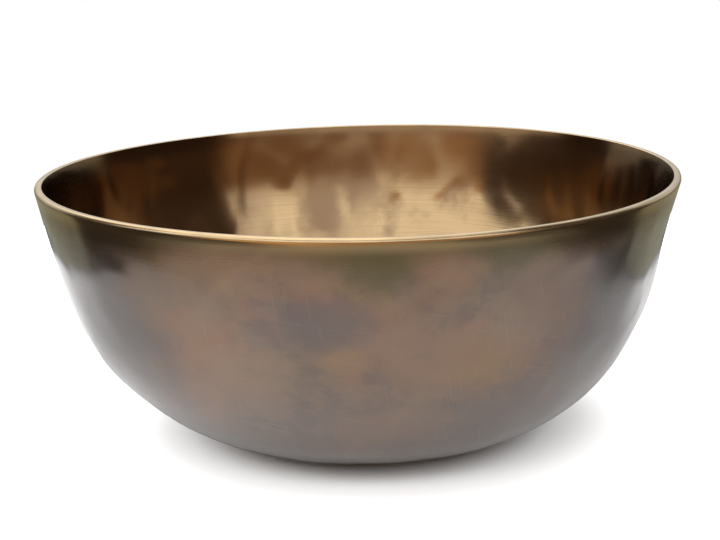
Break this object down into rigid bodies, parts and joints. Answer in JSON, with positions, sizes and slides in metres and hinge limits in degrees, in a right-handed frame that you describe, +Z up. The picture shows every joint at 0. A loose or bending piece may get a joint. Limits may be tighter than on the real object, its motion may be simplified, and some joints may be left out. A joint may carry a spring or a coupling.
{
  "type": "hammered singing bowl",
  "caption": "Deep round bowl hammered from one disc of bell metal, with a full belly, walls that lean out a little, a thick rim ground flat on top and a small flat foot.",
  "frame": {"origin": "middle of the flat foot, on the surface that the bowl stands on", "axes": "+Z up the bowl's axis, out of its mouth; the bowl is round, so +X and +Y are any two level directions"},
  "size_m": [0.3, 0.3, 0.123],
  "materials": {
    "patinated_bronze": "hand hammered, brown patina, brushed, semi-polished"
  },
  "bodies": {
    "root": {"hammered_bowl": "patinated_bronze"}
  },
  "joints": []
}
